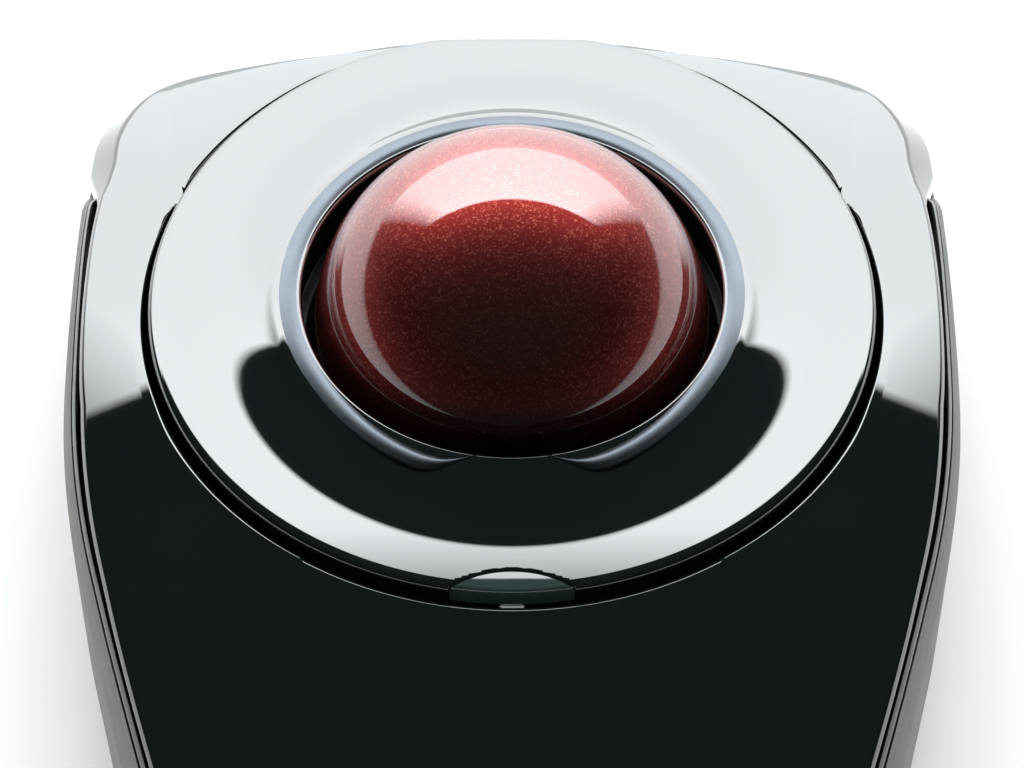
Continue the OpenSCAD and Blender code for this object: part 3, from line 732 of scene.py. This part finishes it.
rear_points, past_the_rim = 40, 1.08
grown = lens_outline(0.0, rear_points)
grown[:rear_points] *= past_the_rim
cutter = loft("window_cutter", [plane_point(grown, ring_edge - 1.5),
                                plane_point(grown, ring_edge + 2.0)],
              "gloss_black", "chassis")
boolean = ring.modifiers.new("seat", "BOOLEAN")
boolean.object, boolean.operation, boolean.solver = cutter, "DIFFERENCE", "EXACT"
cut_mesh = bpy.data.meshes.new_from_object(
    ring.evaluated_get(bpy.context.evaluated_depsgraph_get()))
ring.modifiers.clear()
ring.data = cut_mesh
ring.data.materials.clear()
ring.data.materials.append(materials["gloss_black"])
bpy.data.objects.remove(cutter)


def lens_height(xy):
    """The window's top bows along the ring's radius, so that it shows one straight glint."""
    back = -xy[:, 1] - (window_y - window_r) - 0.9
    return -0.06 - 0.045 * back**2


lens_rings = []
for shrink, height in ((0.10, -1.6), (0.10, -0.50), (0.13, -0.24), (0.20, -0.07), (0.28, 0.0)):
    line = lens_outline(-shrink)
    lens_rings.append(plane_point(line, ring_edge + lens_height(line) + height))
edge_ring = lens_outline(-0.28)
heart = edge_ring.mean(0)
for inward in np.linspace(0, 0.96, 14)[1:]:
    line = edge_ring + (heart - edge_ring) * inward
    lens_rings.append(plane_point(line, ring_edge + lens_height(line)))
loft("status_window_lens", lens_rings, "smoked_window", "chassis", ["status_window"],
     sharp=40.0)

# %% [markdown]
# ## The bezel, swept in Geometry Nodes
# The bezel follows a rule: one small section swept along an arc that is open at the rear,
# where it narrows to two tips that swing outwards. Curve to Mesh does the sweep, so a node
# tree takes the arc's radius, tip angle and steps as named inputs, tapers the result and
# sets the material. It is then turned into a plain mesh and laid on the ring's axis.

# %% Geometry Nodes helpers
def node_tree(name, inputs):
    tree = bpy.data.node_groups.new(name, "GeometryNodeTree")
    tree.interface.new_socket("Geometry", in_out="INPUT", socket_type="NodeSocketGeometry")
    tree.interface.new_socket("Geometry", in_out="OUTPUT", socket_type="NodeSocketGeometry")
    for label, kind, value in inputs:
        socket = tree.interface.new_socket(label, in_out="INPUT", socket_type=kind)
        if value is not None:
            socket.default_value = value
    enter, leave = tree.nodes.new("NodeGroupInput"), tree.nodes.new("NodeGroupOutput")

    def add(kind, settings=None, **sockets):
        n = tree.nodes.new(kind)
        for key, value in (settings or {}).items():
            setattr(n, key, value)
        for key, value in sockets.items():
            key = int(key[1:]) if key[0] == "_" and key[1:].isdigit() else key.replace("_", " ")
            if isinstance(value, bpy.types.NodeSocket):
                tree.links.new(value, n.inputs[key])
            else:
                n.inputs[key].default_value = value
        return n

    return tree, enter, leave, add


def grown_mesh(name, base, tree, values):
    """Runs a tree on a base mesh and gives back the plain mesh that it makes."""
    obj = bpy.data.objects.new(name, base)
    bpy.context.scene.collection.objects.link(obj)
    mod = obj.modifiers.new("grow", "NODES")
    mod.node_group = tree
    names = {s.name: s.identifier for s in tree.interface.items_tree if s.in_out == "INPUT"}
    for label, value in values.items():
        mod[names[label]] = value
    depsgraph = bpy.context.evaluated_depsgraph_get()
    plain = bpy.data.meshes.new_from_object(obj.evaluated_get(depsgraph))
    obj.modifiers.clear()
    obj.data = plain
    return obj


def weld_and_face(obj, dist=1e-7, sharp=35.0):
    bm = bmesh.new()
    bm.from_mesh(obj.data)
    bmesh.ops.remove_doubles(bm, verts=bm.verts, dist=dist)
    bmesh.ops.recalc_face_normals(bm, faces=bm.faces)
    for f in bm.faces:
        f.smooth = True
    for e in bm.edges:
        if len(e.link_faces) == 2:
            e.smooth = e.calc_face_angle(0.0) < math.radians(sharp)
    bm.to_mesh(obj.data)
    bm.free()


# %% The bezel
def section_mesh(name, points):
    mesh = bpy.data.meshes.new(name)
    n = len(points)
    mesh.from_pydata([(x * MM, y * MM, 0) for x, y in points],
                     [(i, (i + 1) % n) for i in range(n)], [])
    return mesh


ring_place = Matrix.Translation(Vector(dome_c * MM)) @ Matrix([
    [axis_side[i], axis_fore[i], axis_up[i], 0] for i in range(3)] + [[0, 0, 0, 1]])

mean_r = (bezel_in + bezel_out) / 2
w = (bezel_out - bezel_in) / 2
low, top = ring_edge + 0.3, bezel_top
section = rounded([(0, low), (-w, low), (-w, top - 0.40), (-w + 0.20, top - 0.10),
                   (-w + 0.75, top), (w - 0.75, top - 0.03), (w - 0.12, top - 0.20),
                   (w, top - 0.5), (w, low), (0, low)], 0.30, 6)[:-1]
tree, enter, leave, add = node_tree("bezel_sweep", [
    ("Radius", "NodeSocketFloat", 0.0168), ("Inner radius", "NodeSocketFloat", 0.0159),
    ("Tip angle", "NodeSocketFloat", 0.1), ("Full angle", "NodeSocketFloat", 0.4),
    ("Swing", "NodeSocketFloat", 0.001), ("Steps", "NodeSocketInt", 240),
    ("Material", "NodeSocketMaterial", None)])


def sums(kind, a, b=None):
    return add("ShaderNodeMath", {"operation": kind}, _0=a,
               **({} if b is None else {"_1": b})).outputs[0]


start = sums("ADD", enter.outputs["Tip angle"], -math.pi / 2)
swing = sums("SUBTRACT", 2 * math.pi, sums("MULTIPLY", enter.outputs["Tip angle"], 2.0))
arc = add("GeometryNodeCurveArc", Resolution=enter.outputs["Steps"],
          Radius=enter.outputs["Radius"], Start_Angle=start, Sweep_Angle=swing)
profile = add("GeometryNodeMeshToCurve", Mesh=enter.outputs["Geometry"])
sweep = add("GeometryNodeCurveToMesh", Curve=arc.outputs[0],
            Profile_Curve=profile.outputs[0], Fill_Caps=True)
place = add("GeometryNodeInputPosition")
parts = add("ShaderNodeSeparateXYZ", _0=place.outputs[0])
x, y = parts.outputs[0], parts.outputs[1]
back = sums("ABSOLUTE", sums("ARCTAN2", x, sums("MULTIPLY", y, -1.0)))
grow = add("ShaderNodeMapRange", {"interpolation_type": "SMOOTHSTEP"}, _0=back,
           _1=enter.outputs["Tip angle"], _2=enter.outputs["Full angle"], _3=0.02, _4=1.0)
r = sums("SQRT", sums("ADD", sums("MULTIPLY", x, x), sums("MULTIPLY", y, y)))
extra = sums("MULTIPLY", sums("SUBTRACT", r, enter.outputs["Inner radius"]), grow.outputs[0])
out_by = add("ShaderNodeMapRange", {"interpolation_type": "SMOOTHSTEP"}, _0=back,
             _1=enter.outputs["Tip angle"],
             _2=sums("ADD", enter.outputs["Tip angle"], math.radians(13.0)), _3=0.0, _4=1.0)
home = add("ShaderNodeMapRange", {"interpolation_type": "SMOOTHSTEP"}, _0=back,
           _1=sums("MULTIPLY", enter.outputs["Full angle"], 0.7),
           _2=sums("ADD", enter.outputs["Full angle"], math.radians(36.0)), _3=1.0, _4=0.0)
swing_out = sums("MULTIPLY", sums("MULTIPLY", out_by.outputs[0], home.outputs[0]),
                 enter.outputs["Swing"])
factor = sums("DIVIDE", sums("ADD", sums("ADD", extra, swing_out),
                             enter.outputs["Inner radius"]), r)
moved = add("ShaderNodeCombineXYZ", _0=sums("MULTIPLY", x, factor),
            _1=sums("MULTIPLY", y, factor), _2=parts.outputs[2])
taper = add("GeometryNodeSetPosition", Geometry=sweep.outputs[0], Position=moved.outputs[0])
real = add("GeometryNodeRealizeInstances", Geometry=taper.outputs[0])
finish = add("GeometryNodeSetMaterial", Geometry=real.outputs[0],
             Material=enter.outputs["Material"])
tree.links.new(finish.outputs[0], leave.inputs[0])
bezel = grown_mesh("ball_bezel_chrome", section_mesh("bezel_section", section), tree, {
    "Radius": mean_r * MM, "Inner radius": bezel_in * MM,
    "Tip angle": math.radians(tip_from), "Full angle": math.radians(tip_to),
    "Swing": tip_swing * MM, "Steps": 260,
    "Material": materials["satin_chrome"]})
co = np.array([v.co for v in bezel.data.vertices])
print("sweep box in mm:", (co.min(0) / MM).round(2), (co.max(0) / MM).round(2))
if co[:, 2].max() < 0.5 * top * MM:
    for v in bezel.data.vertices:
        v.co.z = -v.co.z
bezel.data.transform(ring_place)
weld_and_face(bezel, sharp=60.0)
settle(bezel, "satin_chrome", "chassis", ["ball_bezel"])

# %% [markdown]
# ## The ball
# A real ball is round to a few thousandths of a millimetre, so the mesh is a finely
# divided sphere; a sphere made from a divided cube has no poles to pinch the flakes.

# %% The ball
bm = bmesh.new()
bmesh.ops.create_icosphere(bm, subdivisions=6, radius=ball_r * MM)
for f in bm.faces:
    f.smooth = True
bm.transform(Matrix.Translation(Vector(ball_c * MM)))
ball_mesh = bpy.data.meshes.new("ball_ruby")
bm.to_mesh(ball_mesh)
bm.free()
ball = bpy.data.objects.new("ball_ruby", ball_mesh)
bpy.context.scene.collection.objects.link(ball)
settle(ball, "ruby_resin", "ball_body", ["ball"])


# %% [markdown]
# ## Sides
# Below the skirt a thin satin strip and then a soft grip run along each flank, parallel to
# the dome. Both are sections carried along the outline; the grip's face swells slightly and
# its edges are rounded, as rubber moulded over a tub would be.

# %% Trims and grips
def flank_rays(y0, y1, count):
    """Ray angles on the right hand side whose outline points run from y0 to y1."""
    y = outline(ray) * np.sin(ray)
    return np.interp(np.linspace(y0, y1, count), y, ray)


def side_strip(name, side, slot, nodes, section_at, y0=-44.9, y1=44.9, count=150):
    """section_at(a) gives rows of inset and height at the ray's angle a."""
    rings = []
    for a in flank_rays(y0, y1, count):
        base = on_outline(a)
        rings.append([[*(base * (1 - q / float(outline(a)))) * np.array([side, 1.0]), z]
                      for q, z in section_at(a, base)])
    return loft(name, rings, slot, "chassis", nodes, sharp=50.0)


trim_gap, trim_step, grip_gap, end_dive = 0.16, 0.32, 0.12, 3.3
grip_low, grip_back = 4.25, 1.25


def strip_height(a, base, q):
    """Height of the dome at inset q; the strips sink at their ends, clear of the flank."""
    return (float(dome_z(base * (1 - q / float(outline(a)))))
            - end_dive * (1 - float(on_flank(a))))


def trim_section(a, base):
    q = float(crease(a)) - thin_in - trim_gap
    step = q - trim_step
    line = rounded([(q, -1.2), (q, -0.56), (step, -0.86), (step, -1.9), (q, -1.9),
                    (q, -1.2)], 0.1, 4)[:-1]
    z = strip_height(a, base, q)
    return [(u, z + v) for u, v in line]


def grip_section(a, base):
    q = float(crease(a)) - thin_in - trim_gap - trim_step - grip_gap
    z = strip_height(a, base, q)
    return rounded([(q, z - 2.4), (q, z - 0.95), (q * 0.55, z - 1.5), (0.02, z - 3.4),
                    (0.0, z - 6.0), (0.05, grip_low + 4), (0.3, grip_low),
                    (grip_back, grip_low), (grip_back, z - 2.6)], 0.5, 5)


for side, word in ((-1, "left"), (1, "right")):
    side_strip(f"{word}_trim_strip", side, "trim_grey", [f"{word}_trim"], trim_section)
    side_strip(f"{word}_side_grip_rubber", side, "grip_grey", [f"{word}_side_grip"],
               grip_section)


# %% [markdown]
# ## Carried over pieces
# The tub, its door, the power knob and the receiver already have their true shape in CAD.
# A CAD mesh is loose triangles, so a copy is welded, its flat faces are joined, and small
# bevels break its edges where the shape is simple enough to take them.

# %% Softened copies
def softened(node, name, slot, body, bevel=0.0, sharp=30.0):
    source = bpy.data.objects[node]
    mesh = source.data.copy()
    mesh.transform(source.matrix_world)
    obj = bpy.data.objects.new(name, mesh)
    bpy.context.scene.collection.objects.link(obj)
    bm = bmesh.new()
    bm.from_mesh(mesh)
    bmesh.ops.remove_doubles(bm, verts=bm.verts, dist=2e-6)
    bmesh.ops.dissolve_limit(bm, angle_limit=math.radians(0.6), verts=bm.verts,
                             edges=bm.edges)
    for f in bm.faces:
        f.smooth = True
    for e in bm.edges:
        if len(e.link_faces) == 2:
            e.smooth = e.calc_face_angle(0.0) < math.radians(sharp)
    bm.to_mesh(mesh)
    bm.free()
    if bevel:
        mod = obj.modifiers.new("edges", "BEVEL")
        mod.width, mod.segments, mod.limit_method = bevel * MM, 2, "ANGLE"
        mod.angle_limit = math.radians(40)
        mod.harden_normals = True
        plain = bpy.data.meshes.new_from_object(
            obj.evaluated_get(bpy.context.evaluated_depsgraph_get()))
        obj.modifiers.clear()
        obj.data = plain
    settle(obj, slot, body, [node])
    return obj


softened("base_housing", "base_tub", "housing_black", "chassis")
softened("battery_door", "battery_door_panel", "housing_black", "door", 0.12)
softened("power_slider", "power_knob_ribbed", "knob_grey", "power_knob", 0.1)
softened("receiver_cap", "receiver_cap_body", "housing_black", "receiver", 0.25)
softened("receiver_plug", "receiver_plug_shell", "plug_steel", "receiver", 0.08)

# %% [markdown]
# ## Feet and screws, repeated in Geometry Nodes
# Feet and screws appear several times, so each kind is modelled once and a node tree puts
# it on points. The feet come in two sizes, which are two runs of the same tree.

# %% Repeats on points
def lathe_mesh(name, line, steps=40):
    """A small turned part: the line's points are radius and height in millimetres."""
    verts = []
    for i in range(steps):
        t = 2 * math.pi * i / steps
        verts += [(r * math.cos(t) * MM, r * math.sin(t) * MM, z * MM) for r, z in line]
    faces = grid_faces(steps, len(line), wrap_rows=True)
    mesh = bpy.data.meshes.new(name)
    mesh.from_pydata(verts, [], faces)
    bm = bmesh.new()
    bm.from_mesh(mesh)
    bmesh.ops.remove_doubles(bm, verts=bm.verts, dist=1e-7)
    bmesh.ops.dissolve_degenerate(bm, edges=bm.edges, dist=1e-7)
    bmesh.ops.recalc_face_normals(bm, faces=bm.faces)
    bm.to_mesh(mesh)
    bm.free()
    return mesh


tree, enter, leave, add = node_tree("repeat_on_points", [
    ("Part", "NodeSocketObject", None), ("Size", "NodeSocketFloat", 1.0),
    ("Material", "NodeSocketMaterial", None)])
part = add("GeometryNodeObjectInfo", Object=enter.outputs["Part"])
spots = add("GeometryNodeMeshToPoints", Mesh=enter.outputs["Geometry"])
copies = add("GeometryNodeInstanceOnPoints", Points=spots.outputs[0],
             Instance=part.outputs["Geometry"], Scale=enter.outputs["Size"])
real = add("GeometryNodeRealizeInstances", Geometry=copies.outputs[0])
finish = add("GeometryNodeSetMaterial", Geometry=real.outputs[0],
             Material=enter.outputs["Material"])
tree.links.new(finish.outputs[0], leave.inputs[0])


def repeated(name, part_mesh, places, slot, nodes, size=1.0):
    part_obj = bpy.data.objects.new(name + "_part", part_mesh)
    bpy.context.scene.collection.objects.link(part_obj)
    base = bpy.data.meshes.new(name + "_spots")
    base.from_pydata([tuple(c * MM for c in p) for p in places], [], [])
    obj = grown_mesh(name, base, tree, {"Part": part_obj, "Size": size,
                                        "Material": materials[slot]})
    bpy.data.objects.remove(part_obj)
    weld_and_face(obj)
    settle(obj, slot, "chassis", nodes)
    return obj


feet_line = rounded([(0, 1.18), (0.97, 1.18), (1.0, 0.3), (0.9, 0.0), (0.62, 0.0),
                     (0.55, 0.12), (0.0, 0.12)], 0.08, 4)
foot_r, small_foot_r = 5.0, 3.2
foot = lathe_mesh("foot", [(r * foot_r, z) for r, z in feet_line])
small_foot = lathe_mesh("small_foot", [(r * small_foot_r, z) for r, z in feet_line])
repeated("front_feet", foot, [(-22, 41, 0), (22, 41, 0)], "foot_rubber", ["rubber_feet"])
repeated("rear_feet", small_foot, [(-16.2, -36, 0), (16.2, -36, 0)], "foot_rubber", [])


def screw_mesh():
    bm = bmesh.new()
    bm.from_mesh(lathe_mesh("screw_blank", [(0, 0.6), (0.8, 0.6), (0.8, 10.0), (0.7, 12.6),
                                            (0, 12.6)], 24))
    head = lathe_mesh("screw_head", rounded([(0, 0.02), (1.2, 0.02), (1.8, 0.3), (1.8, 0.6),
                                             (0, 0.6)], 0.15, 4), 36)
    bm.from_mesh(head)
    mesh = bpy.data.meshes.new("screw")
    bm.to_mesh(mesh)
    bm.free()
    return mesh


def cross_recess(mesh):
    """Cuts the driver's cross into the head with a boolean."""
    body = bpy.data.objects.new("screw_body", mesh)
    bpy.context.scene.collection.objects.link(body)
    for turn in (0, math.pi / 2):
        bm = bmesh.new()
        bmesh.ops.create_cube(bm, size=1.0, matrix=Matrix.Rotation(turn, 4, "Z")
                              @ Matrix.Diagonal((2.1 * MM, 0.38 * MM, 0.8 * MM, 1)))
        slot_mesh = bpy.data.meshes.new("cross")
        bm.to_mesh(slot_mesh)
        bm.free()
        cut = bpy.data.objects.new("cross", slot_mesh)
        bpy.context.scene.collection.objects.link(cut)
        mod = body.modifiers.new("cross", "BOOLEAN")
        mod.object, mod.operation, mod.solver = cut, "DIFFERENCE", "EXACT"
        plain = bpy.data.meshes.new_from_object(
            body.evaluated_get(bpy.context.evaluated_depsgraph_get()))
        body.modifiers.clear()
        body.data = plain
        bpy.data.objects.remove(cut)
    bpy.data.objects.remove(body)
    return plain


screw_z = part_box("housing_screws")[0][2] / MM
spots_xy = [(s * x, y, screw_z) for s in (-1, 1)
            for x, y in ((19.5, -12.0), (15.5, ball_c[1] + 15.5))]
repeated("underside_screws", cross_recess(screw_mesh()), spots_xy, "screw_steel",
         ["housing_screws"])

# %% [markdown]
# The pieces inside keep their CAD shape, and only get their finish.

# %% Finishes for the carried over nodes
dressed = 0
for entry in frame["record"]["subparts"]:
    source = bpy.data.objects.get(entry["node"])
    if source and not source.hide_render:
        for i in range(len(source.material_slots)):
            source.material_slots[i].material = materials[entry["material_slot"]]
        if not source.material_slots:
            source.data.materials.append(materials[entry["material_slot"]])
        dressed += 1
print("dressed", dressed, "carried over nodes")

# %% [markdown]
# ## Camera, floor and light
# The camera looks from behind the user's hand, steeply down on the ball. A pale floor runs
# far out. The glossy black takes its whole look from what it reflects: one wide bright
# panel stands in front of the nose, with a straight top edge that draws the sharp border
# across the cover, and it reflects nothing bright from overhead.

# %% Camera
def look(obj, eye, target, up):
    back = (eye - target).normalized()
    right = up.cross(back).normalized()
    true_up = back.cross(right)
    obj.matrix_world = Matrix.Translation(eye) @ Matrix([
        [right[i], true_up[i], back[i], 0] for i in range(3)] + [[0, 0, 0, 1]])


elevation = math.radians(51.0) + tilt
eye_dir = Vector((0, -math.cos(elevation), math.sin(elevation)))
screen_up = Vector((0, math.sin(elevation), math.cos(elevation)))
bezel_mid = Vector(on_axis(0, bezel_top, 0) * MM)
target = bezel_mid - screen_up * 0.00715
camera = bpy.data.objects.new("camera", bpy.data.cameras.new("camera"))
bpy.context.scene.collection.objects.link(camera)
camera.data.lens, camera.data.sensor_width = 210.0, 36.0
camera.data.clip_start, camera.data.clip_end = 0.01, 50.0
look(camera, target + eye_dir * 0.45, target, screen_up)
bpy.context.scene.camera = camera
print("camera at", [round(c, 3) for c in camera.location])

# %% Floor and light
floor_mesh = bpy.data.meshes.new("floor")
reach_m = 4.0
floor_mesh.from_pydata([(-reach_m, -reach_m, 0), (reach_m, -reach_m, 0), (reach_m, reach_m, 0),
                        (-reach_m, reach_m, 0)], [], [(0, 1, 2, 3)])
floor = bpy.data.objects.new("floor", floor_mesh)
bpy.context.scene.collection.objects.link(floor)
s = Sheet("floor_paper")
s.set(base_color=s.mix(s.noise(30.0), (0.86, 0.86, 0.86), (0.83, 0.83, 0.835)), roughness=0.8,
      specular_ior_level=0.2)
floor_mesh.materials.append(s.material)


def panel(name, centre, facing, size, colour):
    """A studio panel: a glowing sheet that fades towards its edges, unseen by the camera."""
    w, h = size[0] / 2, size[1] / 2
    mesh = bpy.data.meshes.new(name)
    mesh.from_pydata([(-w, -h, 0), (w, -h, 0), (w, h, 0), (-w, h, 0)], [], [(0, 1, 2, 3)])
    obj = bpy.data.objects.new(name, mesh)
    bpy.context.scene.collection.objects.link(obj)
    look(obj, Vector(centre), Vector(centre) - Vector(facing), Vector((0, 0, 1)))
    s = Sheet(name)
    split = s.tree.nodes.new("ShaderNodeSeparateXYZ")
    s.tree.links.new(s.point.socket, split.inputs[0])
    across, up = Value(s, split.outputs[0]), Value(s, split.outputs[1])
    side_share, top_share, low_glow, glow_gain = 0.37, 0.09, 0.53, 0.43
    fade_side = ((w - across.size()) / (w * side_share)).clamp()
    fade_top = ((h - up) / (h * top_share)).clamp()
    fade_low = (up + h) / (h * 2.0) * glow_gain + low_glow
    glow = fade_side * fade_top * fade_low
    s.set(base_color=(0.02, 0.02, 0.02), roughness=1.0,
          emission_color=s.mix(glow, (0.0, 0.0, 0.0), colour), emission_strength=1.0)
    mesh.materials.append(s.material)
    obj.visible_camera = False
    return obj


panel("front_wall", (0, 0.62, 0.292), (0, -1, 0), (1.42, 0.585), (7.2, 7.5, 7.65))

sky = bpy.data.lights.new("overhead", "AREA")
sky.shape, sky.size, sky.energy = "SQUARE", 2.4, 44.0
sky_obj = bpy.data.objects.new("overhead", sky)
bpy.context.scene.collection.objects.link(sky_obj)
sky_obj.location = (0, 0, 1.6)
sky_obj.visible_glossy = False
sky_obj.visible_camera = False

# %% [markdown]
# The room itself is nearly black, and darkest a little above the horizon. The floor and
# the grips are lit by the overhead light, which glossy reflections don't see.

# %% Room
world = bpy.data.worlds.new("world")
bpy.context.scene.world = world
world.use_nodes = True
nodes, links = world.node_tree.nodes, world.node_tree.links
where = nodes.new("ShaderNodeTexCoord")
split = nodes.new("ShaderNodeSeparateXYZ")
ramp = nodes.new("ShaderNodeValToRGB")
links.new(where.outputs["Generated"], split.inputs[0])
links.new(split.outputs[2], ramp.inputs[0])
links.new(ramp.outputs[0], nodes["Background"].inputs[0])
first, last = ramp.color_ramp.elements
first.position, first.color = 0.0, (0.03, 0.034, 0.037, 1)
last.position, last.color = 0.75, (0.03, 0.038, 0.04, 1)
middle_stop = ramp.color_ramp.elements.new(0.4)
middle_stop.color = (0.012, 0.016, 0.018, 1)
nodes["Background"].inputs[1].default_value = 1.0
bpy.context.scene.view_settings.view_transform = "Standard"
